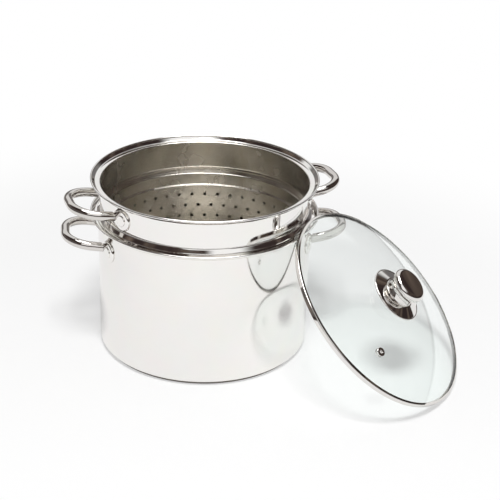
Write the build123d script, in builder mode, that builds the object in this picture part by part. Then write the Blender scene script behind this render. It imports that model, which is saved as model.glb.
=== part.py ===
from math import acos, asin, cos, hypot, radians, sin, sqrt
import os

from build123d import *

# Pasta pot with a strainer insert and a glass lid that leans against it.
# Millimetres, +Z up. The origin is the centre of the pot's base, on the floor,
# and +X points along the pot's right handle.

# Pot
pot_radius = 120.0            # outside of the straight wall
pot_height = 161.0            # top of the rolled edge
pot_sheet = 0.8
pot_corner_radius = 3.2       # inside the bottom corner
pot_lip_flare = 8.6           # how far the rolled edge stands out from the wall
pot_ledge_drop = 5.0          # from the top of the rolled edge to the seat ledge
pot_ledge_width = 4.6         # from the bore to the foot of the flare

# Base under the pot's floor: an aluminium disc in a steel cap
base_inset = 5.0              # the cap's side, in from the pot's wall
base_thickness = 3.5
base_cap_sheet = 0.5
base_cap_edge_radius = 0.9

# Strainer insert
collar_inset = 3.0            # the wall between rim and bead, in from the pot's wall
strainer_sheet = 0.8
strainer_rise = 40.4          # top of the strainer above the top of the pot
strainer_lip_flare = 10.7     # how far the rolled edge stands out from the collar
strainer_ledge_drop = 5.2
strainer_ledge_width = 6.4
bead_reach = 1.8              # how far the bead reaches out over the pot's ledge
bead_edge_height = 4.0        # upright part of the bead
bead_slope_height = 3.8       # from there up to the collar
bead_blend_radius = 3.0       # between slope and collar
neck_clearance = 4.2          # from the plain wall under the bead to the pot's wall
neck_height = 13.5            # down to the step where the holes begin
basket_step = 2.8             # the perforated wall, in from the plain wall above it
basket_floor_height = 36.0    # underside of the strainer's floor above the table
basket_corner_radius = 9.2    # inside the bottom corner
strainer_turn = 11.25         # degrees that its handles stand from the pot's

# Holes in the strainer
hole_radius = 2.0
wall_holes_in_a_row = 45
hole_row_pitch = 14.0
first_row_drop = 12.0         # below the step
floor_ring_pitch = 14.6

# Both lips end in a rolled edge
roll_radius = 1.2
press_radius = 1.4            # bends pressed into the sheet

# Handles: four alike, each a rod loop on two plates. A plate runs from under the
# rod's foot to a round pad beside it, with a pressed boss where it is welded on.
rod_radius = 5.1
handle_half_spacing = 34.0    # from the loop's middle to each leg
handle_reach = 42.0           # from the legs' feet to the far run of the rod
handle_bend_radius = 28.0
handle_tilt = 8.7             # degrees that the loop rises outwards
pot_handle_drop = 28.2        # feet below the top of the pot
strainer_handle_drop = 22.5   # feet below the top of the strainer
pad_radius = 11.6
pad_reach = 13.8              # round the wall, from the rod's foot to the pad's middle
plate_thickness = 2.2
plate_dome_radius = 1.6
boss_radius = 6.2
boss_height = 1.0
boss_edge_radius = 0.6
weld_gap = 0.1                # between plate and wall, and plate and rod

# Lid
lid_clearance = 1.3           # round the lid when it lies in the strainer's lip
band_sheet = 0.5
band_leg = 5.0                # how far the band folds in under the glass
band_return = 2.6             # how far it folds in over the glass
glass_thickness = 3.5
glass_edge_gap = 0.3          # between the glass and the band
crown_rise = 23.5             # underside of the glass, centre above edge
lid_side = -32.0              # degrees round the pot where the lid leans
lid_floor_gap = 0.3
lid_bead_gap = 0.3            # between the lid's top edge and the bead's way up
lid_rest_gap = 0.3            # between the band and the pot's rolled edge
lean_search = 12.0            # degrees searched for the angle at which the lid rests
lean_halvings = 24
lip_look_angle = 40.0         # degrees of the rolled edge looked at, each side
lip_looks = 400

# Knob
knob_hole_radius = 4.2        # through the glass
upper_gasket_thickness = 5.0
upper_gasket_radius = 15.0
flange_radius = 32.0
flange_sheet = 1.2
flange_seat_radius = 18.5     # flat under the stem, from there it falls to the rim
flange_drop = 4.2
flange_bend_radius = 3.0
flange_roll_radius = 1.1
stem_foot_radius = 17.5
stem_waist_radius = 16.3
stem_top_radius = 17.2
stem_height = 12.0
stem_foot_height = 1.0
cap_radius = 20.4
cap_height = 7.5
cap_top_radius = 16.6
cap_top_dish = 0.7
cap_edge_radius = 1.2
screw_radius = 2.5
screw_head_radius = 5.2
screw_head_height = 3.2
screw_depth_in_stem = 8.0
screw_slot_width = 1.2
screw_slot_depth = 1.4
screw_clearance = 0.3
lower_gasket_radius = 10.5
lower_gasket_thickness = 1.2
washer_radius = 9.0
washer_thickness = 1.0
seat_gap = 0.15               # where a flat ring meets the curved glass

# Steam vent
vent_radius = 83.0            # from the lid's axis
vent_turn = 18.3              # degrees from the level line in the lid
vent_hole_radius = 4.0
vent_gasket_sheet = 0.8
vent_flange_radius = 5.0
vent_flange_thickness = 0.8
vent_bore_radius = 1.7
vent_gap = 0.1

# Places that follow from the sizes above
pot_bore = pot_radius - pot_sheet
pot_lip_radius = pot_radius + pot_lip_flare
base_radius = pot_radius - base_inset
pot_floor = base_thickness + pot_sheet
pot_ledge = pot_height - pot_ledge_drop
collar_radius = pot_radius - collar_inset
strainer_lip_radius = collar_radius + strainer_lip_flare
bead_radius = pot_bore + bead_reach
neck_radius = pot_bore - neck_clearance
basket_radius = neck_radius - basket_step
strainer_height = pot_height + strainer_rise
strainer_ledge = strainer_height - strainer_ledge_drop
collar_bore = collar_radius - strainer_sheet
neck_bore = neck_radius - strainer_sheet
basket_bore = basket_radius - strainer_sheet
basket_floor = basket_floor_height + strainer_sheet
step_height = pot_ledge - neck_height
band_radius = collar_bore + strainer_ledge_width - lid_clearance


def lip_points(bore, ledge, ledge_width, lip_radius, top):
    """The inner side of a lip: up the bore, out along the ledge, up the flare."""
    flare_end = (lip_radius - roll_radius, top - roll_radius)
    return [(bore, ledge), (bore + ledge_width, ledge), flare_end]


def revolved_shell(points, radii, sheet, roll):
    """A round shell: the inner outline, thickened outwards, with a rolled edge."""
    with BuildPart() as shell:
        with BuildSketch(Plane.XZ):
            with BuildLine():
                FilletPolyline(*points, radius=radii)
                offset(amount=sheet, side=Side.RIGHT)
            make_face()
            with Locations(points[-1]):
                Circle(roll)
        revolve(axis=Axis.Z)
    return shell.part


def ring(plane, inner, outer, low, high):
    """A flat ring about a plane's own normal, between two heights."""
    with BuildPart() as body:
        with BuildSketch(plane.offset(low)):
            Circle(outer)
            Circle(inner, mode=Mode.SUBTRACT)
        extrude(amount=high - low)
    return body.part


def save(part, name):
    part.label = name
    export_step(part, f"parts/{name}.step")


# Pot shell
def make_pot_shell():
    lip = lip_points(pot_bore, pot_ledge, pot_ledge_width, pot_lip_radius, pot_height)
    points = [(0, pot_floor), (pot_bore, pot_floor)] + lip
    radii = [pot_corner_radius, press_radius, press_radius]
    return revolved_shell(points, radii, pot_sheet, roll_radius)


# Base disc and its cap
def make_base_core():
    with BuildPart() as core:
        with BuildSketch(Plane.XY.offset(base_cap_sheet)):
            Circle(base_radius - base_cap_sheet - weld_gap)
        extrude(amount=base_thickness - base_cap_sheet)
    return core.part


def make_base_cap():
    with BuildPart() as cap:
        with BuildSketch():
            Circle(base_radius)
        extrude(amount=base_thickness)
        fillet(cap.edges().group_by(Axis.Z)[0], radius=base_cap_edge_radius)
        with BuildSketch(Plane.XY.offset(base_cap_sheet)):
            Circle(base_radius - base_cap_sheet)
        extrude(amount=base_thickness, mode=Mode.SUBTRACT)
    return cap.part


# Strainer shell
def make_strainer_shell():
    bead_bore = bead_radius - strainer_sheet
    bead_low = pot_ledge + strainer_sheet
    bead_high = bead_low + bead_edge_height
    lip = lip_points(
        collar_bore, strainer_ledge, strainer_ledge_width, strainer_lip_radius, strainer_height
    )
    points = [
        (0, basket_floor),
        (basket_bore, basket_floor),
        (basket_bore, step_height),
        (neck_bore, step_height),
        (neck_bore, bead_low),
        (bead_bore, bead_low),
        (bead_bore, bead_high),
        (collar_bore, bead_high + bead_slope_height),
    ] + lip
    bend = press_radius / 2
    radii = [basket_corner_radius, bend, bend, press_radius, bend, bend, bead_blend_radius,
             press_radius, press_radius]
    shell = revolved_shell(points, radii, strainer_sheet, roll_radius)
    with BuildPart() as strainer:
        add(shell)
        punch_wall_holes()
        punch_floor_holes()
    return strainer.part


def punch_wall_holes():
    """Rows of round holes, each row turned by half a hole from the last."""
    pitch_angle = 360 / wall_holes_in_a_row
    lowest = basket_floor + basket_corner_radius + hole_radius
    rows = int((step_height - first_row_drop - lowest) / hole_row_pitch) + 1
    for row in range(rows):
        height = step_height - first_row_drop - row * hole_row_pitch
        start = strainer_turn + pitch_angle * (row % 2) / 2
        with Locations((0, 0, height)):
            with PolarLocations(basket_radius, wall_holes_in_a_row, start_angle=start):
                Cylinder(hole_radius, 4 * strainer_sheet, rotation=(0, 90, 0), mode=Mode.SUBTRACT)


def punch_floor_holes():
    """Rings of holes in the floor, six more in each ring, round one in the middle."""
    flat_radius = basket_bore - basket_corner_radius - 2 * hole_radius
    rings = int(flat_radius / floor_ring_pitch)
    with BuildSketch(Plane.XY.offset(basket_floor_height - strainer_sheet)) as holes:
        Circle(hole_radius)
        for index in range(1, rings + 1):
            with PolarLocations(index * floor_ring_pitch, 6 * index):
                Circle(hole_radius)
    extrude(holes.sketch, amount=3 * strainer_sheet, mode=Mode.SUBTRACT)


# Handles
def handle_frame(turn, wall_radius, foot_height):
    """The plane of a loop: its origin midway between the feet, X out along the loop."""
    foot_radius = sqrt(wall_radius**2 - handle_half_spacing**2)
    out = radians(turn)
    rise = radians(handle_tilt)
    return Plane(
        origin=(foot_radius * cos(out), foot_radius * sin(out), foot_height),
        x_dir=(cos(out) * cos(rise), sin(out) * cos(rise), sin(rise)),
        z_dir=(-cos(out) * sin(rise), -sin(out) * sin(rise), cos(rise)),
    )


def make_handle(turn, wall_radius, foot_height):
    rod_end = wall_radius + plate_thickness + 2 * weld_gap
    inside = pad_radius
    corners = [
        (-inside, -handle_half_spacing),
        (handle_reach, -handle_half_spacing),
        (handle_reach, handle_half_spacing),
        (-inside, handle_half_spacing),
    ]
    with BuildPart() as handle:
        with BuildLine(handle_frame(turn, wall_radius, foot_height)) as route:
            FilletPolyline(*corners, radius=handle_bend_radius)
        with BuildSketch(Plane(route.line @ 0, z_dir=route.line % 0)):
            Circle(rod_radius)
        sweep()
        with Locations((0, 0, foot_height)):
            Cylinder(rod_end, 2 * wall_radius, mode=Mode.SUBTRACT)
    return handle.part


def wall_pads(turn, wall_radius, foot_height, outline, low, high, rounding):
    """Two pads on a round wall, one beside each foot, between two radii."""
    foot_angle = asin(handle_half_spacing / wall_radius)
    pad_angle = foot_angle + pad_reach / wall_radius
    foot_offset = wall_radius * sin(pad_angle - foot_angle)
    start = wall_radius - pad_radius
    with BuildPart() as pads:
        for side in (-1, 1):
            angle = radians(turn) + side * pad_angle
            place = Plane(
                origin=(start * cos(angle), start * sin(angle), foot_height),
                x_dir=(-sin(angle), cos(angle), 0),
                z_dir=(cos(angle), sin(angle), 0),
            )
            with BuildSketch(place):
                outline(-side * foot_offset)
            extrude(amount=2 * pad_radius)
        with Locations((0, 0, foot_height)):
            Cylinder(high, 2 * wall_radius, mode=Mode.INTERSECT)
            Cylinder(low, 2 * wall_radius, mode=Mode.SUBTRACT)
        middle = (low + high) / 2
        rims = pads.edges().filter_by(lambda e: hypot(e.center().X, e.center().Y) > middle)
        fillet(rims, radius=rounding)
    return pads.part


def make_plates(turn, wall_radius, foot_height):
    inner = wall_radius + weld_gap
    outer = inner + plate_thickness

    def plate_outline(foot):
        Circle(pad_radius)
        with Locations((foot, 0)):
            Circle(rod_radius)
        make_hull()

    def boss_outline(foot):
        Circle(boss_radius)

    place = (turn, wall_radius, foot_height)
    low = outer - plate_thickness / 2
    with BuildPart() as plates:
        add(wall_pads(*place, plate_outline, inner, outer, plate_dome_radius))
        add(wall_pads(*place, boss_outline, low, outer + boss_height, boss_edge_radius))
    return plates.part


# Lid glass: two spheres about one centre on the lid's axis. Heights along the
# axis start at the band's underside.
glass_radius = band_radius - band_sheet - glass_edge_gap
glass_edge_height = band_sheet + glass_edge_gap
under_sphere = (glass_radius**2 + crown_rise**2) / (2 * crown_rise)
over_sphere = under_sphere + glass_thickness
sphere_drop = glass_edge_height + crown_rise - under_sphere
crown_under = glass_edge_height + crown_rise
crown_over = crown_under + glass_thickness


def glass_under(radius):
    return sphere_drop + sqrt(under_sphere**2 - radius**2)


def glass_over(radius):
    return sphere_drop + sqrt(over_sphere**2 - radius**2)


# Lid: where it leans. Its axis points out and up, its lowest point is just clear
# of the floor, its highest point is just clear of the bead's way up, and its band
# rests on the pot's rolled edge in two places.
def lean_place(lean):
    """How far out and how high the middle of the lid's underside is."""
    out = bead_radius + lid_bead_gap + band_radius * sin(lean)
    return out, lid_floor_gap + band_radius * cos(lean)


def lip_gap(lean):
    """The least gap between the band's underside and the pot's rolled edge."""
    out, high = lean_place(lean)
    circle = pot_lip_radius - roll_radius
    up = pot_height - roll_radius - high
    gaps = []
    for look in range(lip_looks + 1):
        angle = radians(lip_look_angle * look / lip_looks)
        along, across = circle * cos(angle) - out, circle * sin(angle)
        above = along * cos(lean) + up * sin(lean)
        from_axis = hypot(across, up * cos(lean) - along * sin(lean))
        inside = max(0, band_radius - band_leg - from_axis)
        outside = max(0, from_axis - band_radius)
        clear = -above if inside + outside == 0 else hypot(inside + outside, above)
        gaps.append(clear - roll_radius)
    return min(gaps)


def resting_lean():
    """The lean at which the band is its rest gap from the rolled edge."""
    flat = acos((pot_height - lid_floor_gap) / (2 * band_radius))
    steep = flat - radians(lean_search)
    for halving in range(lean_halvings):
        middle = (steep + flat) / 2
        if lip_gap(middle) > lid_rest_gap:
            steep = middle
        else:
            flat = middle
    return steep


lean = resting_lean()
side = radians(lid_side)
lid_out, lid_high = lean_place(lean)
lid_axis = Vector(cos(lean) * cos(side), cos(lean) * sin(side), sin(lean))
lid_level = Vector(sin(side), -cos(side), 0)
lid_centre = Vector(lid_out * cos(side), lid_out * sin(side), lid_high)
lid_plane = Plane(origin=lid_centre, x_dir=lid_level, z_dir=lid_axis)
# Outlines of the lid's round pieces: X out from the lid's axis, Y along it
lid_section = Plane(
    origin=lid_centre, x_dir=lid_level, z_dir=lid_level.cross(lid_axis)
)
lid_turning_axis = Axis(lid_centre, lid_axis)


def turned(make_outline):
    """A round lid piece from a function that draws its half outline."""
    with BuildPart() as body:
        with BuildSketch(lid_section):
            with BuildLine():
                make_outline()
            make_face()
        revolve(axis=lid_turning_axis)
    return body.part


def vent_frame():
    """The plane of the vent: its origin on the glass's underside, Z square to it."""
    turn = radians(vent_turn)
    out = vent_radius
    tilt = asin(vent_radius / under_sphere)
    in_plane = lid_level * cos(turn) + lid_axis.cross(lid_level) * sin(turn)
    origin = lid_centre + in_plane * out + lid_axis * glass_under(vent_radius)
    normal = in_plane * sin(tilt) + lid_axis * cos(tilt)
    return Plane(origin=origin, z_dir=normal)


def make_lid_glass():
    def outline():
        mid = glass_radius / 2
        low = (glass_radius, glass_under(glass_radius))
        high = (glass_radius, glass_over(glass_radius))
        inner_low = (knob_hole_radius, glass_under(knob_hole_radius))
        inner_high = (knob_hole_radius, glass_over(knob_hole_radius))
        ThreePointArc(inner_low, (mid, glass_under(mid)), low)
        Line(low, high)
        ThreePointArc(high, (mid, glass_over(mid)), inner_high)
        Line(inner_high, inner_low)

    with BuildPart() as glass:
        add(turned(outline))
        with BuildSketch(vent_frame().offset(-glass_thickness)):
            Circle(vent_hole_radius)
        extrude(amount=3 * glass_thickness, mode=Mode.SUBTRACT)
    return glass.part


def make_lid_band():
    """Sheet folded round the glass: a leg under it, an upright, a return over it."""
    leg_end = band_radius - band_leg
    return_end = band_radius - band_return
    outer_top = glass_over(band_radius) + glass_edge_gap + band_sheet
    inner_radius = band_radius - band_sheet
    inner_top = glass_over(inner_radius) + glass_edge_gap

    def outline():
        Polyline(
            (leg_end, 0),
            (band_radius, 0),
            (band_radius, outer_top),
            (return_end, glass_over(return_end) + glass_edge_gap + band_sheet),
            (return_end, glass_over(return_end) + glass_edge_gap),
            (inner_radius, inner_top),
            (inner_radius, band_sheet),
            (leg_end, band_sheet),
            (leg_end, 0),
        )

    return turned(outline)


# Knob, from the glass up
flange_low = crown_over + upper_gasket_thickness
flange_top = flange_low + flange_sheet
stem_top = flange_top + stem_height
cap_top = stem_top + cap_height


def make_upper_gasket():
    low = crown_over + seat_gap / 3
    return ring(lid_plane, knob_hole_radius, upper_gasket_radius, low, flange_low)


def make_knob_flange():
    rim = flange_radius - flange_roll_radius
    rim_height = flange_top - flange_drop
    with BuildPart() as flange:
        with BuildSketch(lid_section):
            with BuildLine():
                FilletPolyline(
                    (screw_radius + screw_clearance, flange_top),
                    (flange_seat_radius, flange_top),
                    (rim, rim_height),
                    radius=flange_bend_radius,
                )
                offset(amount=flange_sheet, side=Side.RIGHT)
            make_face()
            with Locations((rim, rim_height - flange_sheet / 2)):
                Circle(flange_roll_radius)
        revolve(axis=lid_turning_axis)
    return flange.part


def make_knob_stem():
    bore = screw_radius + screw_clearance
    bore_top = flange_top + screw_depth_in_stem + screw_clearance
    waist = flange_top + stem_foot_height + (stem_height - stem_foot_height) / 2

    def outline():
        foot = (stem_foot_radius, flange_top + stem_foot_height)
        top = (stem_top_radius, stem_top)
        Polyline(foot, (stem_foot_radius, flange_top), (bore, flange_top), (bore, bore_top),
                 (0, bore_top), (0, stem_top), top)
        ThreePointArc(top, (stem_waist_radius, waist), foot)

    return turned(outline)


def make_knob_cap():
    dish_low = cap_top - cap_top_dish
    dish_sphere = (cap_top_radius**2 + cap_top_dish**2) / (2 * cap_top_dish)
    halfway = cap_top_radius / 2
    halfway_height = dish_low + dish_sphere - sqrt(dish_sphere**2 - halfway**2)

    def outline():
        under = (cap_radius - cap_edge_radius, stem_top)
        side_low = (cap_radius, stem_top + cap_edge_radius)
        crest = (cap_top_radius, cap_top)
        Line((0, stem_top), under)
        TangentArc(under, side_low, tangent=(1, 0))
        TangentArc(side_low, crest, tangent=(0, 1))
        ThreePointArc(crest, (halfway, halfway_height), (0, dish_low))
        Line((0, dish_low), (0, stem_top))

    return turned(outline)


# Under the glass: gasket, washer and screw
gasket_top = glass_under(lower_gasket_radius) - seat_gap / 3
washer_top = gasket_top - lower_gasket_thickness
washer_low = washer_top - washer_thickness


def make_lower_gasket():
    inner = screw_radius + screw_clearance
    return ring(lid_plane, inner, lower_gasket_radius, washer_top, gasket_top)


def make_knob_washer():
    inner = screw_radius + screw_clearance
    return ring(lid_plane, inner, washer_radius, washer_low, washer_top)


def make_knob_screw():
    head_low = washer_low - screw_head_height
    shank_top = flange_top + screw_depth_in_stem
    with BuildPart() as screw:
        with BuildSketch(lid_plane.offset(head_low)):
            Circle(screw_head_radius)
        extrude(amount=screw_head_height)
        circles = screw.edges().filter_by(GeomType.CIRCLE)
        head_rim = circles.sort_by_distance(lid_plane.offset(head_low).origin)[0]
        fillet(head_rim, radius=screw_head_height / 3)
        with BuildSketch(lid_plane.offset(washer_low)):
            Circle(screw_radius)
        extrude(amount=shank_top - washer_low)
        with BuildSketch(lid_plane.offset(head_low)):
            Rectangle(screw_slot_width, screw_head_radius)
            Rectangle(screw_head_radius, screw_slot_width)
        extrude(amount=screw_slot_depth, mode=Mode.SUBTRACT)
    return screw.part


# Steam vent
def make_vent_gasket():
    outer = vent_hole_radius - vent_gap
    inner = outer - vent_gasket_sheet
    return ring(vent_frame(), inner, outer, 0, glass_thickness)


def make_vent_eyelet():
    tube = vent_hole_radius - vent_gasket_sheet - 2 * vent_gap
    low = -vent_gap
    high = glass_thickness + vent_gap
    frame = vent_frame()
    with BuildPart() as eyelet:
        for start, sense in ((high, 1), (low, -1)):
            with BuildSketch(frame.offset(start)):
                Circle(vent_flange_radius)
            extrude(amount=sense * vent_flange_thickness)
        rims = eyelet.edges()
        fillet(rims, radius=vent_flange_thickness / 3)
        with BuildSketch(frame.offset(low)):
            Circle(tube)
        extrude(amount=high - low)
        with BuildSketch(frame.offset(low - 2 * vent_flange_thickness)):
            Circle(vent_bore_radius)
        extrude(amount=high - low + 4 * vent_flange_thickness, mode=Mode.SUBTRACT)
    return eyelet.part


def save_handles(body, turn, wall_radius, foot_height):
    for name, extra in (("right", 0), ("left", 180)):
        save(make_handle(turn + extra, wall_radius, foot_height), f"{body}_handle_{name}")
        save(make_plates(turn + extra, wall_radius, foot_height), f"{body}_{name}_handle_plates")


os.makedirs("parts", exist_ok=True)
save(make_pot_shell(), "pot_shell")
save(make_base_core(), "base_core")
save(make_base_cap(), "base_cap")
save_handles("pot", 0, pot_radius, pot_height - pot_handle_drop)
save(make_strainer_shell(), "strainer_shell")
save_handles("strainer", strainer_turn, collar_radius, strainer_height - strainer_handle_drop)
save(make_lid_glass(), "lid_glass")
save(make_lid_band(), "lid_band")
save(make_upper_gasket(), "knob_upper_gasket")
save(make_knob_flange(), "knob_flange")
save(make_knob_stem(), "knob_stem")
save(make_knob_cap(), "knob_cap")
save(make_lower_gasket(), "knob_lower_gasket")
save(make_knob_washer(), "knob_washer")
save(make_knob_screw(), "knob_screw")
save(make_vent_gasket(), "vent_gasket")
save(make_vent_eyelet(), "vent_eyelet")
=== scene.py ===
import bmesh
import bpy
from math import acos, asin, atan2, cos, hypot, pi, radians, sin, sqrt, tan
from mathutils import Matrix, Vector


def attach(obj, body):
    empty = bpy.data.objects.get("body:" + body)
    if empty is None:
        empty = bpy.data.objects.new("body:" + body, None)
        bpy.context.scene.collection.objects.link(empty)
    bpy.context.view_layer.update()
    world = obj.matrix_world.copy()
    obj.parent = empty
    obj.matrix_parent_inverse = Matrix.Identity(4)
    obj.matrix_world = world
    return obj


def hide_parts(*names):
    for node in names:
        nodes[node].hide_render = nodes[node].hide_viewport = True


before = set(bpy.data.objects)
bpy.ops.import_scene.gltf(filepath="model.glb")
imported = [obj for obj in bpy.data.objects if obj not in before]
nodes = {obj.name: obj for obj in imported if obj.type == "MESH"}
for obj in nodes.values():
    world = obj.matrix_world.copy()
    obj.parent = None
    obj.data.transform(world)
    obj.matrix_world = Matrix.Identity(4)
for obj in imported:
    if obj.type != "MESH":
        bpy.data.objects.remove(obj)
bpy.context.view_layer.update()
mm = 0.001

print("frame loaded")

# The camera, found by fitting the rims, the base edge and the handles
cameraView = {
    "azimuth": -9.3, "elevation": 25.67, "roll": 1.805,
    "distance": 1426 * mm, "lens": 89.64,
    "aim": (51.73 * mm, -8.47 * mm, 109.97 * mm),
}


def towards(azimuth, elevation):
    # azimuth 0 is -Y, the side that a front view looks from
    a, e = radians(azimuth), radians(elevation)
    return Vector((sin(a) * cos(e), -cos(a) * cos(e), sin(e)))


def placeCamera():
    data = bpy.data.cameras.new("studioCamera")
    camera = bpy.data.objects.new("studioCamera", data)
    bpy.context.scene.collection.objects.link(camera)
    data.sensor_width = 36
    data.lens = cameraView["lens"]
    data.clip_start, data.clip_end = 0.05, 50
    back = towards(cameraView["azimuth"], cameraView["elevation"])
    turn = (-back).to_track_quat("-Z", "Y").to_matrix().to_4x4()
    place = Matrix.Translation(Vector(cameraView["aim"]) + back * cameraView["distance"])
    camera.matrix_world = place @ turn @ Matrix.Rotation(radians(cameraView["roll"]), 4, "Z")
    bpy.context.scene.camera = camera


placeCamera()
print("camera placed")


# Small helpers for meshes and nodes
def newPiece(bm, name, material, body, replaced=(), place=None, sharp=35, weighted=True, inner=None, innerTop=1):
    bmesh.ops.remove_doubles(bm, verts=bm.verts[:], dist=0.00001)
    bmesh.ops.recalc_face_normals(bm, faces=bm.faces[:])
    if place is not None:
        bmesh.ops.transform(bm, matrix=place, verts=bm.verts[:])
    for face in bm.faces:
        face.smooth = True
    for edge in bm.edges:
        if len(edge.link_faces) == 2 and edge.calc_face_angle() > radians(sharp):
            edge.smooth = False
    if inner is not None:
        # the faces that look into the vessel, below its lip: they take the inside steel, whose warmer tone is a
        # painted reflection
        middle = Vector((0, 0, 158 * mm))
        for face in bm.faces:
            centre = face.calc_center_median()
            if face.normal.dot(middle - centre) > 0 and centre.z < innerTop * mm:
                face.material_index = 1
    mesh = bpy.data.meshes.new(name)
    bm.to_mesh(mesh)
    bm.free()
    mesh.materials.append(material)
    if inner is not None:
        mesh.materials.append(inner)
    piece = bpy.data.objects.new(name, mesh)
    bpy.context.scene.collection.objects.link(piece)
    if weighted:
        soft = piece.modifiers.new("weightedNormals", "WEIGHTED_NORMAL")
        soft.keep_sharp = True
    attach(piece, body)
    if replaced:
        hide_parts(*replaced)
    return piece


def outline(bm, points, rounds, closed=False):
    # a wire through points of (radius, height) in mm, with rounded corners
    corners = [bm.verts.new((r * mm, 0, h * mm)) for r, h in points]
    following = corners[1:] + (corners[:1] if closed else [])
    for a, b in zip(corners, following):
        bm.edges.new((a, b))
    for number, radius in rounds.items():
        here = Vector(points[number])
        before = (here - Vector(points[number - 1])).normalized()
        after = (Vector(points[(number + 1) % len(points)]) - here).normalized()
        turn = before.angle(after)
        bmesh.ops.bevel(
            bm, geom=[corners[number]], offset=radius * mm * tan(turn / 2), offset_type="OFFSET",
            segments=max(3, int(turn * 5)), profile=0.5, affect="VERTICES", material=-1,
            clamp_overlap=False,
        )
    return corners


def spinRound(bm, steps):
    bmesh.ops.spin(
        bm, geom=bm.verts[:] + bm.edges[:], cent=(0, 0, 0), axis=(0, 0, 1), dvec=(0, 0, 0),
        angle=2 * pi, steps=steps, use_merge=True, use_duplicate=False,
    )


def turned(points, rounds, steps=128, closed=False):
    bm = bmesh.new()
    outline(bm, points, rounds, closed)
    spinRound(bm, steps)
    return bm


def addNode(tree, kind, settings=None, links=None):
    node = tree.nodes.new(kind)
    for name, value in (settings or {}).items():
        if isinstance(name, int) or name in node.inputs:
            node.inputs[name].default_value = value
        else:
            setattr(node, name, value)
    for name, source in (links or {}).items():
        tree.links.new(source, node.inputs[name])
    return node


def linear(hexColour):
    channels = []
    for at in (1, 3, 5):
        value = int(hexColour[at:at + 2], 16) / 255
        channels.append(value / 12.92 if value <= 0.04045 else ((value + 0.055) / 1.055) ** 2.4)
    return (*channels, 1)


def newMaterial(name):
    material = bpy.data.materials.new(name)
    material.use_nodes = True
    material.node_tree.nodes.clear()
    return material, material.node_tree


# Floor, backdrop and lamps
studio = {
    "floorSize": 8, "sweepHalfWidth": 1.3, "sweepFade": 0.4,
    "floor": "#FBFBFB", "floorGlow": 0.46, "floorGlowInMetal": 0.2, "paperRadius": 0.28, "paperFade": 0.4,
    "dark": "#352C2B", "brown": "#A08F80", "streakScale": 2.6,
    "ambient": 0.39, "glare": 8.0, "glareInside": 5.0,
}
# bright fields that the metal shows: azimuth and elevation of the middle, half the
# width and height in degrees, how wide the edge fades and how bright the field is
brightFields = [
    (0, 90, 180, 17, 6, 8.0),
    (30, 58, 16, 10, 22, 1.0),
    (-4, 42, 24, 16, 8, 1.1),
    (180, 5, 42, 17, 8, 0.15),
    (-95, 8, 40, 12, 14, 0.08),
    (180, 43, 40, 21, 7, 0.9),
]


def makeFloor():
    bm = bmesh.new()
    bmesh.ops.create_grid(bm, x_segments=1, y_segments=1, size=studio["floorSize"] / 2)
    bmesh.ops.translate(bm, vec=(0, 0, -0.1 * mm), verts=bm.verts[:])
    mesh = bpy.data.meshes.new("studioFloor")
    bm.to_mesh(mesh)
    bm.free()
    floor = bpy.data.objects.new("studioFloor", mesh)
    bpy.context.scene.collection.objects.link(floor)
    material, tree = newMaterial("whitePaperSweep")
    paths = addNode(tree, "ShaderNodeLightPath")
    place = addNode(tree, "ShaderNodeTexCoord")
    turn = addNode(tree, "ShaderNodeMapping", {"Rotation": (0, 0, radians(9.3))}, {"Vector": place.outputs["Object"]})
    split = addNode(tree, "ShaderNodeSeparateXYZ", links={"Vector": turn.outputs["Vector"]})
    side = addNode(tree, "ShaderNodeMath", {"operation": "ABSOLUTE"}, {0: split.outputs["X"]})
    off = addNode(tree, "ShaderNodeMapRange", {
        "interpolation_type": "SMOOTHSTEP", "From Min": studio["sweepHalfWidth"],
        "From Max": studio["sweepHalfWidth"] + studio["sweepFade"], "To Min": 0, "To Max": 1,
    }, {"Value": side.outputs["Value"]})
    offGlossy = addNode(tree, "ShaderNodeMath", {"operation": "MULTIPLY"}, {0: off.outputs["Result"], 1: paths.outputs["Is Glossy Ray"]})
    seen = addNode(tree, "ShaderNodeMath", {"operation": "MAXIMUM"}, {0: paths.outputs["Is Camera Ray"], 1: paths.outputs["Is Glossy Ray"]})
    seenToo = addNode(tree, "ShaderNodeMath", {"operation": "MAXIMUM"}, {0: seen.outputs["Value"], 1: paths.outputs["Is Transmission Ray"]})
    length = addNode(tree, "ShaderNodeVectorMath", {"operation": "LENGTH"}, {0: place.outputs["Object"]})
    near = addNode(tree, "ShaderNodeMapRange", {
        "From Min": 0, "From Max": 1, "To Min": studio["floorGlow"], "To Max": studio["floorGlowInMetal"],
    }, {"Value": paths.outputs["Is Glossy Ray"]})
    glowShare = addNode(tree, "ShaderNodeMapRange", {
        "interpolation_type": "SMOOTHSTEP", "From Min": studio["paperRadius"],
        "From Max": studio["paperRadius"] + studio["paperFade"], "To Max": 1,
    }, {"Value": length.outputs["Value"], "To Min": near.outputs["Result"]})
    share = addNode(tree, "ShaderNodeMath", {"operation": "MULTIPLY"}, {0: seenToo.outputs["Value"], 1: glowShare.outputs["Result"]})
    paper = addNode(tree, "ShaderNodeBsdfDiffuse", {"Color": linear(studio["floor"])})
    glow = addNode(tree, "ShaderNodeEmission", {"Color": (1, 1, 1, 1), "Strength": 1})
    both = addNode(tree, "ShaderNodeMixShader", links={0: share.outputs["Value"], 1: paper.outputs["BSDF"], 2: glow.outputs["Emission"]})
    gloom = addNode(tree, "ShaderNodeEmission", {"Color": linear(studio["dark"]), "Strength": 1})
    all_ = addNode(tree, "ShaderNodeMixShader", links={0: offGlossy.outputs["Value"], 1: both.outputs["Shader"], 2: gloom.outputs["Emission"]})
    addNode(tree, "ShaderNodeOutputMaterial", links={"Surface": all_.outputs["Shader"]})
    mesh.materials.append(material)


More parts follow.
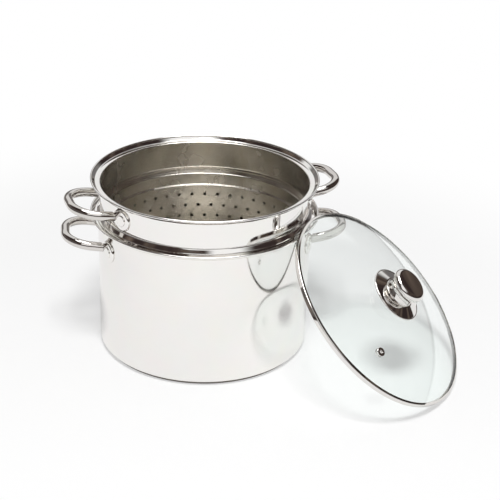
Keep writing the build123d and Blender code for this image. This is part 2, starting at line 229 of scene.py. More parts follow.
def makeWorld():
    world = bpy.data.worlds.new("studioWorld")
    bpy.context.scene.world = world
    world.use_nodes = True
    tree = world.node_tree
    tree.nodes.clear()
    paths = addNode(tree, "ShaderNodeLightPath")
    place = addNode(tree, "ShaderNodeTexCoord")
    split = addNode(tree, "ShaderNodeSeparateXYZ", links={"Vector": place.outputs["Generated"]})
    front = addNode(tree, "ShaderNodeMath", {"operation": "MULTIPLY", 1: -1}, {0: split.outputs["Y"]})
    across = addNode(tree, "ShaderNodeMath", {"operation": "ARCTAN2"}, {0: split.outputs["X"], 1: front.outputs["Value"]})
    up = addNode(tree, "ShaderNodeMath", {"operation": "ARCSINE"}, {0: split.outputs["Z"]})
    total = None
    for azimuth, elevation, halfWidth, halfHeight, fade, brightness in brightFields:
        field = None
        for angle, middle, half in ((across, azimuth, halfWidth), (up, elevation, halfHeight)):
            off = addNode(tree, "ShaderNodeMath", {"operation": "SUBTRACT", 1: radians(middle)}, {0: angle.outputs["Value"]})
            wrapped = addNode(tree, "ShaderNodeMath", {"operation": "WRAP", 1: pi, 2: -pi}, {0: off.outputs["Value"]})
            far = addNode(tree, "ShaderNodeMath", {"operation": "ABSOLUTE"}, {0: wrapped.outputs["Value"]})
            inside = addNode(tree, "ShaderNodeMapRange", {
                "interpolation_type": "SMOOTHSTEP", "From Min": radians(half), "From Max": radians(half + fade),
                "To Min": brightness if field is None else 1, "To Max": 0,
            }, {"Value": far.outputs["Value"]})
            if field is None:
                field = inside.outputs["Result"]
            else:
                field = addNode(tree, "ShaderNodeMath", {"operation": "MULTIPLY"}, {0: field, 1: inside.outputs["Result"]}).outputs["Value"]
        if total is None:
            total = field
        else:
            total = addNode(tree, "ShaderNodeMath", {"operation": "MAXIMUM"}, {0: total, 1: field}).outputs["Value"]
    # the unlit room isn't even: brown streaks, long from side to side
    long = addNode(tree, "ShaderNodeMapping", {"Scale": (1, 1, 4)}, {"Vector": place.outputs["Generated"]})
    streaks = addNode(tree, "ShaderNodeTexNoise", {"Scale": studio["streakScale"], "Detail": 3}, {"Vector": long.outputs["Vector"]})
    some = addNode(tree, "ShaderNodeMapRange", {
        "From Min": 0.46, "From Max": 0.7, "To Min": 0, "To Max": 0.35,
    }, {"Value": streaks.outputs["Fac"]})
    room = addNode(tree, "ShaderNodeMixRGB", {
        "Color1": linear(studio["dark"]), "Color2": linear(studio["brown"]),
    }, {"Fac": some.outputs["Result"]})
    fields = addNode(tree, "ShaderNodeMixRGB", {"Color2": (1, 1, 1, 1)}, {"Fac": total, "Color1": room.outputs["Color"]})
    # seen by way of more than one piece of steel, the ceiling glares less: it keeps the inside even
    deep = addNode(tree, "ShaderNodeMath", {"operation": "GREATER_THAN", 1: 1.5}, {0: paths.outputs["Glossy Depth"]})
    most = addNode(tree, "ShaderNodeMapRange", {
        "From Min": 0, "From Max": 1, "To Min": studio["glare"], "To Max": studio["glareInside"],
    }, {"Value": deep.outputs["Value"]})
    held = addNode(tree, "ShaderNodeMath", {"operation": "MINIMUM"}, {0: total, 1: most.outputs["Result"]})
    glare = addNode(tree, "ShaderNodeMath", {"operation": "MAXIMUM", 1: 1}, {0: held.outputs["Value"]})
    metal = addNode(tree, "ShaderNodeBackground", links={"Color": fields.outputs["Color"], "Strength": glare.outputs["Value"]})
    plain = addNode(tree, "ShaderNodeBackground", {"Color": (1, 1, 1, 1), "Strength": 1})
    fill = addNode(tree, "ShaderNodeBackground", {"Color": (1, 1, 1, 1), "Strength": studio["ambient"]})
    clear = addNode(tree, "ShaderNodeMath", {"operation": "MAXIMUM"}, {0: paths.outputs["Is Camera Ray"], 1: paths.outputs["Is Transmission Ray"]})
    # metal seen in dull surfaces only fills, so that it doesn't darken the floor round it
    direct = addNode(tree, "ShaderNodeMath", {"operation": "LESS_THAN", 1: 0.5}, {0: paths.outputs["Diffuse Depth"]})
    mirrored = addNode(tree, "ShaderNodeMath", {"operation": "MULTIPLY"}, {0: direct.outputs["Value"], 1: paths.outputs["Is Glossy Ray"]})
    first = addNode(tree, "ShaderNodeMixShader", links={0: mirrored.outputs["Value"], 1: fill.outputs["Background"], 2: metal.outputs["Background"]})
    last = addNode(tree, "ShaderNodeMixShader", links={0: clear.outputs["Value"], 1: first.outputs["Shader"], 2: plain.outputs["Background"]})
    addNode(tree, "ShaderNodeOutputWorld", links={"Surface": last.outputs["Shader"]})


def addLamp(name, azimuth, elevation, distance, size, power):
    data = bpy.data.lights.new(name, "AREA")
    data.shape = "RECTANGLE"
    data.size, data.size_y = size
    data.energy = power
    lamp = bpy.data.objects.new(name, data)
    bpy.context.scene.collection.objects.link(lamp)
    out = towards(azimuth, elevation)
    aim = Vector((50 * mm, -30 * mm, 80 * mm))
    lamp.matrix_world = Matrix.Translation(aim + out * distance) @ out.to_track_quat("Z", "Y").to_matrix().to_4x4()
    lamp.visible_camera = False
    lamp.visible_glossy = False
    lamp.visible_transmission = False


makeFloor()
makeWorld()
addLamp("keySoftbox", -7, 65, 2.5, (0.6, 0.56), 42.5)
bpy.context.scene.view_settings.view_transform = "Standard"
print("stage ready")


def mirrorSteel(name, hexColour, roughness, lineSpacing, lineDepth, place=None):
    # 18/10 stainless, drawn and then mirror polished on a lathe: bright, with polishing
    # lines round the axis that are only just there and a faint cloudiness from wiping
    material, tree = newMaterial(name)
    where = addNode(tree, "ShaderNodeTexCoord")
    turn = place.inverted() if place is not None else Matrix.Identity(4)
    local = addNode(tree, "ShaderNodeMapping", {
        "vector_type": "POINT", "Location": turn.to_translation(), "Rotation": turn.to_euler(),
    }, {"Vector": where.outputs["Object"]})
    # stretched noise: long round the piece, short along its axis
    stretch = addNode(tree, "ShaderNodeMapping", {"Scale": (12, 12, 1 / (lineSpacing * mm))}, {"Vector": local.outputs["Vector"]})
    lines = addNode(tree, "ShaderNodeTexNoise", {"Scale": 1, "Detail": 3, "Roughness": 0.6}, {"Vector": stretch.outputs["Vector"]})
    clouds = addNode(tree, "ShaderNodeTexNoise", {"Scale": 1 / (30 * mm), "Detail": 2}, {"Vector": local.outputs["Vector"]})
    dull = addNode(tree, "ShaderNodeMapRange", {
        "From Min": 0.3, "From Max": 0.7, "To Min": roughness * 0.7, "To Max": roughness * 1.3,
    }, {"Value": clouds.outputs["Fac"]})
    bump = addNode(tree, "ShaderNodeBump", {"Strength": 0.6, "Distance": lineDepth * mm}, {"Height": lines.outputs["Fac"]})
    tone = addNode(tree, "ShaderNodeMixRGB", {
        "blend_type": "MULTIPLY", "Fac": 0.05, "Color1": linear(hexColour),
    }, {"Color2": clouds.outputs["Color"]})
    steel = addNode(tree, "ShaderNodeBsdfPrincipled", {"Metallic": 1}, {
        "Base Color": tone.outputs["Color"], "Roughness": dull.outputs["Result"], "Normal": bump.outputs["Normal"],
    })
    addNode(tree, "ShaderNodeOutputMaterial", links={"Surface": steel.outputs["BSDF"]})
    return material


def makeTemperedGlass():
    # soda-lime glass, bent and tempered: clear, a little green, very slightly wavy
    material, tree = newMaterial("temperedGlass")
    where = addNode(tree, "ShaderNodeTexCoord")
    waves = addNode(tree, "ShaderNodeTexNoise", {"Scale": 1 / (60 * mm), "Detail": 1}, {"Vector": where.outputs["Object"]})
    bump = addNode(tree, "ShaderNodeBump", {"Strength": 0.3, "Distance": 0.05 * mm}, {"Height": waves.outputs["Fac"]})
    glass = addNode(tree, "ShaderNodeBsdfPrincipled", {
        "Base Color": linear("#F8FBFA"), "Roughness": 0.0, "IOR": 1.45, "Transmission Weight": 1.0,
    }, {"Normal": bump.outputs["Normal"]})
    paths = addNode(tree, "ShaderNodeLightPath")
    through = addNode(tree, "ShaderNodeBsdfTransparent", {"Color": linear("#F4F7F6")})
    both = addNode(tree, "ShaderNodeMixShader", links={0: paths.outputs["Is Shadow Ray"], 1: glass.outputs["BSDF"], 2: through.outputs["BSDF"]})
    addNode(tree, "ShaderNodeOutputMaterial", links={"Surface": both.outputs["Shader"]})
    return material


def makeSilicone():
    # moulded translucent silicone: milky, dull, with a fine even grain
    material, tree = newMaterial("mouldedSilicone")
    where = addNode(tree, "ShaderNodeTexCoord")
    grain = addNode(tree, "ShaderNodeTexNoise", {"Scale": 1 / (0.6 * mm), "Detail": 2}, {"Vector": where.outputs["Object"]})
    bump = addNode(tree, "ShaderNodeBump", {"Strength": 0.2, "Distance": 0.02 * mm}, {"Height": grain.outputs["Fac"]})
    tone = addNode(tree, "ShaderNodeMixRGB", {"Fac": 0.5, "Color1": linear("#C9CCCB"), "Color2": linear("#D6D8D7")})
    tree.links.new(grain.outputs["Fac"], tone.inputs["Fac"])
    rubber = addNode(tree, "ShaderNodeBsdfPrincipled", {"Roughness": 0.55}, {"Base Color": tone.outputs["Color"], "Normal": bump.outputs["Normal"]})
    addNode(tree, "ShaderNodeOutputMaterial", links={"Surface": rubber.outputs["BSDF"]})
    return material


def makeAluminium():
    # rolled aluminium disc: pale grey, soft sheen, fine straight rolling lines
    material, tree = newMaterial("rolledAluminium")
    where = addNode(tree, "ShaderNodeTexCoord")
    stretch = addNode(tree, "ShaderNodeMapping", {"Scale": (20, 1 / (0.8 * mm), 20)}, {"Vector": where.outputs["Object"]})
    lines = addNode(tree, "ShaderNodeTexNoise", {"Scale": 1, "Detail": 3}, {"Vector": stretch.outputs["Vector"]})
    dull = addNode(tree, "ShaderNodeMapRange", {"From Min": 0.3, "From Max": 0.7, "To Min": 0.32, "To Max": 0.45}, {"Value": lines.outputs["Fac"]})
    metal = addNode(tree, "ShaderNodeBsdfPrincipled", {"Base Color": linear("#C3C5C8"), "Metallic": 1}, {"Roughness": dull.outputs["Result"]})
    addNode(tree, "ShaderNodeOutputMaterial", links={"Surface": metal.outputs["BSDF"]})
    return material


# The lid's own frame: Z along its axis, X level
lidPlace = {"lean": 46.9668, "side": -32, "beadRadius": 121, "beadGap": 0.3, "floorGap": 0.3, "bandRadius": 121.3}


def makeLidFrame():
    lean, side = radians(lidPlace["lean"]), radians(lidPlace["side"])
    axis = Vector((cos(lean) * cos(side), cos(lean) * sin(side), sin(lean)))
    level = Vector((sin(side), -cos(side), 0))
    out = lidPlace["beadRadius"] + lidPlace["beadGap"] + lidPlace["bandRadius"] * sin(lean)
    high = lidPlace["floorGap"] + lidPlace["bandRadius"] * cos(lean)
    place = Matrix((level, axis.cross(level), axis)).transposed().to_4x4()
    return Matrix.Translation(Vector((out * cos(side), out * sin(side), high)) * mm) @ place


lidFrame = makeLidFrame()
potSteel = mirrorSteel("mirrorPolishedSteel", "#F4F2EF", 0.05, 1.6, 0.003)
# the inside's satin roughness is real; its warmer, slightly darker tone is a painted reflection, standing in for warm
# light reflected about inside the vessel
insideSteelPaintedWarm = mirrorSteel("spunSatinSteelInsidePaintedWarm", "#ECE8E0", 0.24, 1.2, 0.006)
# the rods' darker tone is painted shade: it stands in for the darker surroundings that the polished rods reflect
rodSteelPaintedDarker = mirrorSteel("polishedRodSteelPaintedDarker", "#D8D4D0", 0.04, 4, 0.002)
lidSteel = mirrorSteel("mirrorPolishedLidSteel", "#E4E1DE", 0.04, 1.2, 0.002, lidFrame)
satinSteel = mirrorSteel("satinSteel", "#C8C6C3", 0.28, 0.9, 0.006)
# the base cap's dark brown-grey colour is painted shade: it stands in for the contact shadow along the pot's bottom
# edge; only its dull roughness is the real brushed finish
baseSteelPaintedShade = mirrorSteel("brushedBaseSteelPaintedShade", "#7A736D", 0.35, 0.9, 0.008)
temperedGlass = makeTemperedGlass()
silicone = makeSilicone()
aluminium = makeAluminium()
print("finishes ready")

# Pot shell: outline of the inside, in mm from the axis and the floor
pot = {
    "bore": 119.2, "floor": 4.3, "ledge": 156, "ledgeWidth": 4.6, "lipRadius": 128.6, "height": 161,
    "sheet": 0.8, "roll": 1.2, "cornerRadius": 3.2, "press": 1.4, "steps": 240,
}


def facing(bm, centre):
    # normals towards a point, so that the sheet's thickness goes the other way
    bmesh.ops.remove_doubles(bm, verts=bm.verts[:], dist=0.00001)
    bmesh.ops.recalc_face_normals(bm, faces=bm.faces[:])
    away = sum(f.normal.dot(f.calc_center_median() - centre) * f.calc_area() for f in bm.faces)
    if away > 0:
        bmesh.ops.reverse_faces(bm, faces=bm.faces[:])


def makeRoll(bm, radius, height, size, steps, sides=20):
    # the rolled edge: a small circle spun round the axis
    ring = bmesh.ops.create_circle(bm, segments=sides, radius=size * mm)["verts"]
    bmesh.ops.rotate(bm, cent=(0, 0, 0), matrix=Matrix.Rotation(pi / 2, 3, "X"), verts=ring)
    bmesh.ops.translate(bm, vec=(radius * mm, 0, height * mm), verts=ring)
    edges = list({e for v in ring for e in v.link_edges})
    bmesh.ops.spin(
        bm, geom=ring + edges, cent=(0, 0, 0), axis=(0, 0, 1), dvec=(0, 0, 0),
        angle=2 * pi, steps=steps, use_merge=True, use_duplicate=False,
    )


def makePotShell():
    p = pot
    flareEnd = (p["lipRadius"] - p["roll"], p["height"] - p["roll"])
    points = [
        (0, p["floor"]), (p["bore"], p["floor"]), (p["bore"], p["ledge"]),
        (p["bore"] + p["ledgeWidth"], p["ledge"]), flareEnd,
    ]
    bm = turned(points, {1: p["cornerRadius"], 2: p["press"], 3: p["press"]}, p["steps"])
    facing(bm, Vector((0, 0, 80 * mm)))
    bmesh.ops.solidify(bm, geom=bm.faces[:], thickness=p["sheet"] * mm)
    makeRoll(bm, flareEnd[0], flareEnd[1], p["roll"], p["steps"])
    return newPiece(bm, "potShell", potSteel, "pot", ["pot_shell"], inner=insideSteelPaintedWarm, innerTop=p["ledge"])


baseCap = {"radius": 115, "height": 3.5, "sheet": 0.5, "edge": 0.9, "steps": 240}


def makeBaseCap():
    p = baseCap
    bm = turned([(0, 0), (p["radius"], 0), (p["radius"], p["height"])], {1: p["edge"]}, p["steps"])
    facing(bm, Vector((0, 0, 50 * mm)))
    bmesh.ops.reverse_faces(bm, faces=bm.faces[:])
    bmesh.ops.solidify(bm, geom=bm.faces[:], thickness=p["sheet"] * mm)
    # the base cap takes the darkened steel, whose colour is painted contact shadow
    return newPiece(bm, "baseCap", baseSteelPaintedShade, "pot", ["base_cap"])


makePotShell()
makeBaseCap()
print("pot shell and base made")

# Strainer shell: collar, bead, plain neck, step, then six rows of holes
strainer = {
    "turn": 11.25, "sheet": 0.8, "roll": 1.2, "press": 1.4, "bend": 0.7,
    "basketBore": 111.4, "floor": 36.8, "cornerRadius": 9.2, "step": 142.5, "neckBore": 114.2,
    "beadLow": 156.8, "beadBore": 120.2, "beadHigh": 160.8, "slopeHigh": 164.6, "blend": 3,
    "collarBore": 116.2, "ledge": 196.2, "ledgeWidth": 6.4, "lipRadius": 127.7, "height": 201.4,
    "holeRadius": 2, "holesInRow": 45, "firstRow": 130.5, "rowPitch": 14, "rows": 6,
    "ringPitch": 14.6, "rings": 6, "steps": 180,
}


def makeHoleCell(bm, width, height, hole):
    # a flat rectangle with a round hole: its outline cut up to match the hole's sides
    square = bmesh.ops.create_circle(bm, segments=4, radius=sqrt(0.5))["verts"]
    bmesh.ops.rotate(bm, cent=(0, 0, 0), matrix=Matrix.Rotation(pi / 4, 3, "Z"), verts=square)
    bmesh.ops.scale(bm, vec=(width, height, 1), verts=square)
    bmesh.ops.subdivide_edges(bm, edges=bm.edges[:], cuts=3)
    sides = len(bm.verts)
    rim = bm.edges[:]
    ring = bmesh.ops.create_circle(bm, segments=sides, radius=hole)["verts"]
    bmesh.ops.rotate(bm, cent=(0, 0, 0), matrix=Matrix.Rotation(pi / 4, 3, "Z"), verts=ring)
    inner = list({e for v in ring for e in v.link_edges})
    bmesh.ops.bridge_loops(bm, edges=rim + inner)


def makePerforatedWall(bm, p):
    pitch = 2 * pi / p["holesInRow"]
    bore = p["basketBore"] * mm
    cell = bmesh.new()
    makeHoleCell(cell, pitch * bore, p["rowPitch"] * mm, p["holeRadius"] * mm)
    for vert in cell.verts:
        angle = vert.co.x / bore
        vert.co = (bore * cos(angle), bore * sin(angle), vert.co.y)
    mesh = bpy.data.meshes.new("holeCell")
    cell.to_mesh(mesh)
    cell.free()
    for row in range(p["rows"]):
        before = set(bm.verts)
        bm.from_mesh(mesh)
        fresh = [v for v in bm.verts if v not in before]
        bmesh.ops.translate(bm, vec=(0, 0, (p["firstRow"] - row * p["rowPitch"]) * mm), verts=fresh)
        bmesh.ops.rotate(
            bm, cent=(0, 0, 0), matrix=Matrix.Rotation(pitch / 2 * (row % 2), 3, "Z"), verts=fresh,
        )
        edges = {e for v in fresh for e in v.link_edges}
        faces = {f for v in fresh for f in v.link_faces}
        bmesh.ops.spin(
            bm, geom=fresh + list(edges) + list(faces), cent=(0, 0, 0), axis=(0, 0, 1),
            dvec=(0, 0, 0), angle=2 * pi - pitch, steps=p["holesInRow"] - 1,
            use_merge=False, use_duplicate=True,
        )
    bpy.data.meshes.remove(mesh)


def makePerforatedFloor(bm, p):
    floor = bmesh.new()
    rim = p["basketBore"] - p["cornerRadius"]
    bmesh.ops.create_circle(floor, segments=p["steps"], radius=rim * mm)
    for ring in range(p["rings"] + 1):
        for number in range(max(1, 6 * ring)):
            angle = 2 * pi * number / max(1, 6 * ring)
            hole = bmesh.ops.create_circle(floor, segments=16, radius=p["holeRadius"] * mm)["verts"]
            out = Vector((cos(angle), sin(angle), 0)) * ring * p["ringPitch"] * mm
            bmesh.ops.translate(floor, vec=out, verts=hole)
    bmesh.ops.triangle_fill(floor, use_beauty=True, use_dissolve=False, edges=floor.edges[:])
    bmesh.ops.translate(floor, vec=(0, 0, p["floor"] * mm), verts=floor.verts[:])
    # the floor's holes aren't turned with the handles
    bmesh.ops.rotate(
        floor, cent=(0, 0, 0), matrix=Matrix.Rotation(-radians(p["turn"]), 3, "Z"), verts=floor.verts[:],
    )
    mesh = bpy.data.meshes.new("perforatedFloor")
    floor.to_mesh(mesh)
    floor.free()
    bm.from_mesh(mesh)
    bpy.data.meshes.remove(mesh)


def makeStrainerShell():
    p = strainer
    flareEnd = (p["lipRadius"] - p["roll"], p["height"] - p["roll"])
    top = p["firstRow"] + p["rowPitch"] / 2
    low = top - p["rows"] * p["rowPitch"]
    points = [
        (p["basketBore"], top), (p["basketBore"], p["step"]), (p["neckBore"], p["step"]),
        (p["neckBore"], p["beadLow"]), (p["beadBore"], p["beadLow"]), (p["beadBore"], p["beadHigh"]),
        (p["collarBore"], p["slopeHigh"]), (p["collarBore"], p["ledge"]),
        (p["collarBore"] + p["ledgeWidth"], p["ledge"]), flareEnd,
    ]
    bend, press = p["bend"], p["press"]
    bm = bmesh.new()
    outline(bm, points, {1: bend, 2: bend, 3: press, 4: bend, 5: bend, 6: p["blend"], 7: press, 8: press})
    corner = [(p["basketBore"] - p["cornerRadius"], p["floor"]), (p["basketBore"], p["floor"]), (p["basketBore"], low)]
    outline(bm, corner, {1: p["cornerRadius"]})
    spinRound(bm, p["steps"])
    makePerforatedWall(bm, p)
    makePerforatedFloor(bm, p)
    facing(bm, Vector((0, 0, 120 * mm)))
    bmesh.ops.solidify(bm, geom=bm.faces[:], thickness=p["sheet"] * mm)
    makeRoll(bm, flareEnd[0], flareEnd[1], p["roll"], p["steps"])
    turn = Matrix.Rotation(radians(p["turn"]), 4, "Z")
    return newPiece(
        bm, "strainerShell", potSteel, "strainer", ["strainer_shell"], turn, inner=insideSteelPaintedWarm, innerTop=p["ledge"],
    )


makeStrainerShell()
print("strainer shell made")

# Handles: a rod loop on two welded plates with a boss each, four alike
handle = {
    "rod": 5.1, "halfSpacing": 34, "reach": 42, "bend": 28, "tilt": 8.7,
    "padRadius": 11.6, "padReach": 13.8, "plateThickness": 2.2, "plateDome": 1.6, "weldGap": 0.1,
    "bossRadius": 6.2, "bossHeight": 1, "bossEdge": 0.6,
    "sides": 32, "bendSteps": 20,
}
handlePlaces = {
    "potHandleRight": ("pot", 0, 120, 132.8, "pot_handle_right", "pot_right_handle_plates"),
    "potHandleLeft": ("pot", 180, 120, 132.8, "pot_handle_left", "pot_left_handle_plates"),
    "strainerHandleRight": ("strainer", 11.25, 117, 178.9, "strainer_handle_right", "strainer_right_handle_plates"),
    "strainerHandleLeft": ("strainer", 191.25, 117, 178.9, "strainer_handle_left", "strainer_left_handle_plates"),
}


def makeRod(name, body, turn, wall, height, node):
    p = handle
    half, reach, bend = p["halfSpacing"] * mm, p["reach"] * mm, p["bend"] * mm
    bm = bmesh.new()
    ring = bmesh.ops.create_circle(bm, segments=p["sides"], radius=p["rod"] * mm)["verts"]
    bmesh.ops.rotate(bm, cent=(0, 0, 0), matrix=Matrix.Rotation(pi / 2, 3, "Y"), verts=ring)
    bmesh.ops.translate(bm, vec=(0, -half, 0), verts=ring)
    first = list(ring)

    def run(verts, vector):
        edges = [e for e in bm.edges if all(v in verts for v in e.verts)]
        made = bmesh.ops.extrude_edge_only(bm, edges=edges)["geom"]
        fresh = [g for g in made if isinstance(g, bmesh.types.BMVert)]
        bmesh.ops.translate(bm, vec=vector, verts=fresh)
        return set(fresh)

    def swing(verts, centre):
        edges = [e for e in bm.edges if all(v in verts for v in e.verts)]
        made = bmesh.ops.spin(
            bm, geom=list(verts) + edges, cent=centre, axis=(0, 0, 1), dvec=(0, 0, 0),
            angle=pi / 2, steps=p["bendSteps"], use_merge=False, use_duplicate=False,
        )
        return {g for g in made["geom_last"] if isinstance(g, bmesh.types.BMVert)}

    last = run(set(ring), (reach - bend, 0, 0))
    last = swing(last, (reach - bend, -half + bend, 0))
    last = run(last, (0, 2 * (half - bend), 0))
    last = swing(last, (reach - bend, half - bend, 0))
    last = run(last, (bend - reach, 0, 0))
    for end in (first, list(last)):
        bmesh.ops.contextual_create(bm, geom=[e for e in bm.edges if all(v in end for v in e.verts)])
    out, rise = radians(turn), radians(p["tilt"])
    foot = sqrt(wall**2 - p["halfSpacing"]**2) * mm
    place = Matrix.Rotation(out, 4, "Z") @ Matrix.Translation((foot, 0, height * mm)) @ Matrix.Rotation(-rise, 4, "Y")
    bmesh.ops.transform(bm, matrix=place, verts=bm.verts[:])
    # the feet follow the plates' round faces
    along = place.to_3x3() @ Vector((1, 0, 0))
    face = (wall + p["plateThickness"] + 2 * p["weldGap"]) * mm
    for vert in first + list(last):
        flat, step = vert.co.to_2d(), along.to_2d()
        a, b, c = step.dot(step), flat.dot(step), flat.dot(flat) - face**2
        vert.co += along * ((-b + sqrt(b * b - a * c)) / a)
    # the rods take the steel whose darker tone is painted shade
    return newPiece(bm, name, rodSteelPaintedDarker, body, [node])


def dropShaped(vert, side, foot):
    # a round disc drawn out to the rod's foot: how far the hull of both circles goes
    p = handle
    big, small = p["padRadius"] * mm, p["rod"] * mm
    angle = abs(atan2(vert.co.y, side * vert.co.x))
    touch = acos((big - small) / foot)
    tip = atan2(small * sin(touch), foot + small * cos(touch))
    if angle < tip:
        reach = foot * cos(angle) + sqrt(small**2 - (foot * sin(angle))**2)
    elif angle < touch:
        reach = big / cos(touch - angle)
    else:
        reach = big
    out = hypot(vert.co.x, vert.co.y)
    if out > 0:
        inset = max(0, big - out)
        grown = reach * out / big if out < big * 0.7 else reach - inset
        vert.co.x *= grown / out
        vert.co.y *= grown / out


def makePlates(name, body, turn, wall, height, node):
    p = handle
    inner = (wall + p["weldGap"]) * mm
    footAngle = asin(p["halfSpacing"] / wall)
    padAngle = footAngle + p["padReach"] / wall
    foot = wall * sin(padAngle - footAngle) * mm
    pad, boss, thick = p["padRadius"], p["bossRadius"], p["plateThickness"]
    top = thick + p["bossHeight"]
    bm = bmesh.new()
    plate = [(0, 0), (pad / 3, 0), (pad * 2 / 3, 0), (pad, 0), (pad, thick)]
    plate += [(pad * 2 / 3, thick), (pad / 3, thick), (0, thick)]
    button = [(0, thick / 2), (boss, thick / 2), (boss, top), (boss / 2, top), (0, top)]
    for side in (-1, 1):
        for points, rounds, drawn in ((plate, {4: p["plateDome"]}, True), (button, {2: p["bossEdge"]}, False)):
            disc = bmesh.new()
            outline(disc, points, rounds)
            spinRound(disc, 96)
            bmesh.ops.remove_doubles(disc, verts=disc.verts[:], dist=0.00001)
            for vert in disc.verts:
                if drawn:
                    dropShaped(vert, -side, foot)
                across, up, out = vert.co
                angle = radians(turn) + side * padAngle + asin(across / (inner + out))
                far = inner + out
                vert.co = (far * cos(angle), far * sin(angle), height * mm + up)
            mesh = bpy.data.meshes.new("plateDisc")
            disc.to_mesh(mesh)
            disc.free()
            bm.from_mesh(mesh)
            bpy.data.meshes.remove(mesh)
    return newPiece(bm, name, potSteel, body, [node])


for name, (body, turn, wall, height, rodNode, platesNode) in handlePlaces.items():
    makeRod(name, body, turn, wall, height, rodNode)
    makePlates(name + "Plates", body, turn, wall, height, platesNode)
print("handles made")

# Lid: glass between two spheres about one centre, in a folded steel band
lid = {
    "glassRadius": 120.5, "glassThickness": 3.5, "crownRise": 23.5, "edgeHeight": 0.8, "knobHole": 4.2,
    "bandRadius": 121.3, "bandSheet": 0.5, "bandLeg": 5, "bandReturn": 2.6, "edgeGap": 0.3,
    "ventRadius": 83, "ventTurn": 18.3, "ventHole": 4, "steps": 256,
}
underSphere = (lid["glassRadius"]**2 + lid["crownRise"]**2) / (2 * lid["crownRise"])
overSphere = underSphere + lid["glassThickness"]
sphereCentre = lid["edgeHeight"] + lid["crownRise"] - underSphere
crownOver = sphereCentre + overSphere


def glassUnder(radius):
    return sphereCentre + sqrt(underSphere**2 - radius**2)


def glassOver(radius):
    return sphereCentre + sqrt(overSphere**2 - radius**2)


def ventPlace():
    turn, tilt = radians(lid["ventTurn"]), asin(lid["ventRadius"] / underSphere)
    at = Vector((lid["ventRadius"], 0, glassUnder(lid["ventRadius"]))) * mm
    return Matrix.Rotation(turn, 4, "Z") @ Matrix.Translation(at) @ Matrix.Rotation(tilt, 4, "Y")


def drilled(bm, place, radius, depth):
    # a round hole through a piece, by a cutter that is taken away again
    cutter = bmesh.new()
    bmesh.ops.create_cone(cutter, cap_ends=True, segments=48, radius1=radius * mm, radius2=radius * mm, depth=depth * mm)
    bmesh.ops.transform(cutter, matrix=place, verts=cutter.verts[:])
    pieces = []
    for name, source in (("drillBlank", bm), ("drillCutter", cutter)):
        mesh = bpy.data.meshes.new(name)
        source.to_mesh(mesh)
        piece = bpy.data.objects.new(name, mesh)
        bpy.context.scene.collection.objects.link(piece)
        pieces.append(piece)
    cutter.free()
    cut = pieces[0].modifiers.new("drilling", "BOOLEAN")
    cut.operation, cut.object, cut.solver = "DIFFERENCE", pieces[1], "EXACT"
    made = bmesh.new()
    made.from_object(pieces[0], bpy.context.evaluated_depsgraph_get())
    for piece in pieces:
        mesh = piece.data
        bpy.data.objects.remove(piece)
        bpy.data.meshes.remove(mesh)
    bm.free()
    return made


def makeLidGlass():
    p = lid
    bm = bmesh.new()
    steps = 44
    for sphere, height in ((underSphere, glassUnder), (overSphere, glassOver)):
        swing = asin(p["glassRadius"] / sphere) - asin(p["knobHole"] / sphere)
        start = bm.verts.new((p["knobHole"] * mm, 0, height(p["knobHole"]) * mm))
        bmesh.ops.spin(
            bm, geom=[start], cent=(0, 0, sphereCentre * mm), axis=(0, 1, 0), dvec=(0, 0, 0),
            angle=swing, steps=steps, use_merge=False, use_duplicate=False,
        )
    bm.verts.ensure_lookup_table()
    ends = [v for v in bm.verts if len(v.link_edges) == 1]
    inner = [v for v in ends if v.co.x < 0.02]
    outer = [v for v in ends if v.co.x > 0.02]
    bm.edges.new(inner)
    bm.edges.new(outer)
    spinRound(bm, p["steps"])
    bmesh.ops.remove_doubles(bm, verts=bm.verts[:], dist=0.00001)
    bmesh.ops.recalc_face_normals(bm, faces=bm.faces[:])
    bm = drilled(bm, ventPlace(), p["ventHole"], 6 * p["glassThickness"])
    return newPiece(bm, "lidGlass", temperedGlass, "lid", ["lid_glass"], lidFrame)


def makeLidBand():
    p = lid
    legEnd, returnEnd = p["bandRadius"] - p["bandLeg"], p["bandRadius"] - p["bandReturn"]
    innerRadius = p["bandRadius"] - p["bandSheet"]
    outerTop = glassOver(p["bandRadius"]) + p["edgeGap"] + p["bandSheet"]
    returnLow = glassOver(returnEnd) + p["edgeGap"]
    points = [
        (legEnd, 0), (p["bandRadius"], 0), (p["bandRadius"], outerTop), (returnEnd, returnLow + p["bandSheet"]),
        (returnEnd, returnLow), (innerRadius, glassOver(innerRadius) + p["edgeGap"]),
        (innerRadius, p["bandSheet"]), (legEnd, p["bandSheet"]),
    ]
    bm = turned(points, {1: 1.1, 2: 1.1, 5: 0.3, 6: 0.3}, p["steps"], closed=True)
    return newPiece(bm, "lidBand", lidSteel, "lid", ["lid_band"], lidFrame)


makeLidGlass()
makeLidBand()
print("lid glass and band made")

# Knob: flange that falls to its rim, waisted stem, flat-topped cap
knob = {
    "gasket": 5, "flangeSheet": 1.2, "flangeSeat": 18.5, "flangeRadius": 32, "flangeDrop": 4.2, "flangeRoll": 1.1,
    "bore": 2.8, "flangeBend": 3, "stemFoot": 17.5, "stemCorner": 15.2, "stemTop": 17.2, "stemHeight": 12,
    "footHeight": 1, "capRadius": 20.4, "capHeight": 7.5, "capTopRadius": 16.6, "capDish": 0.7, "capEdge": 1.2,
    "steps": 128,
}
flangeTop = crownOver + knob["gasket"] + knob["flangeSheet"]
stemTop = flangeTop + knob["stemHeight"]


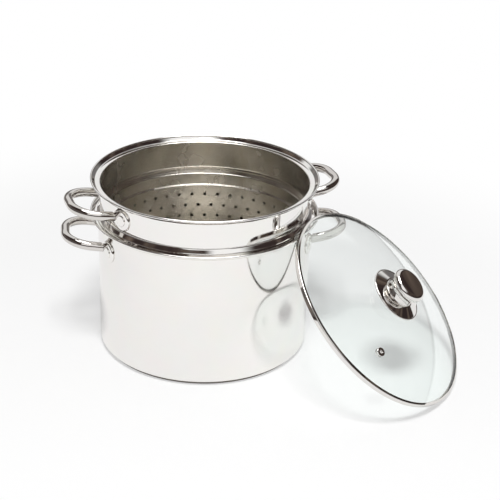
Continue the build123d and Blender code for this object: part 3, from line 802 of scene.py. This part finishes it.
def makeKnob():
    p = knob
    rim, rimHeight = p["flangeRadius"] - p["flangeRoll"], flangeTop - p["flangeDrop"]
    bm = turned([(p["bore"], flangeTop), (p["flangeSeat"], flangeTop), (rim, rimHeight)], {1: p["flangeBend"]}, p["steps"])
    facing(bm, Vector((0, 0, 1)))
    bmesh.ops.solidify(bm, geom=bm.faces[:], thickness=p["flangeSheet"] * mm)
    makeRoll(bm, rim, rimHeight - p["flangeSheet"] / 2, p["flangeRoll"], p["steps"], 16)
    newPiece(bm, "knobFlange", lidSteel, "lid", ["knob_flange"], lidFrame)

    foot = flangeTop + p["footHeight"]
    points = [
        (0, flangeTop), (p["stemFoot"], flangeTop), (p["stemFoot"], foot),
        (p["stemCorner"], (foot + stemTop) / 2), (p["stemTop"], stemTop), (0, stemTop),
    ]
    bm = turned(points, {3: 14}, p["steps"])
    newPiece(bm, "knobStem", lidSteel, "lid", ["knob_stem"], lidFrame)

    capTop = stemTop + p["capHeight"]
    points = [
        (0, stemTop), (p["capRadius"], stemTop), (p["capRadius"], capTop),
        (p["capTopRadius"] - 0.9, capTop), (0, capTop - p["capDish"]),
    ]
    bm = turned(points, {1: p["capEdge"], 2: 4.5}, p["steps"])
    newPiece(bm, "knobCap", lidSteel, "lid", ["knob_cap"], lidFrame)


eyelet = {"tube": 3, "bore": 1.7, "flange": 5, "thickness": 0.8, "gap": 0.1}


def makeVentEyelet():
    p = eyelet
    low, high = -p["gap"], lid["glassThickness"] + p["gap"]
    points = [
        (p["bore"], low - p["thickness"]), (p["flange"], low - p["thickness"]), (p["flange"], low),
        (p["tube"], low), (p["tube"], high), (p["flange"], high), (p["flange"], high + p["thickness"]),
        (p["bore"], high + p["thickness"]),
    ]
    bm = turned(points, {1: 0.3, 6: 0.6, 7: 0.5}, 64, closed=True)
    return newPiece(bm, "ventEyelet", lidSteel, "lid", ["vent_eyelet"], lidFrame @ ventPlace())


makeKnob()
makeVentEyelet()
print("knob and vent made")

for name in ("base_core",):
    nodes[name].data.materials.clear()
    nodes[name].data.materials.append(aluminium)
for name in ("knob_upper_gasket", "knob_lower_gasket", "vent_gasket"):
    nodes[name].data.materials.clear()
    nodes[name].data.materials.append(silicone)
for name in ("knob_washer", "knob_screw"):
    nodes[name].data.materials.clear()
    nodes[name].data.materials.append(satinSteel)
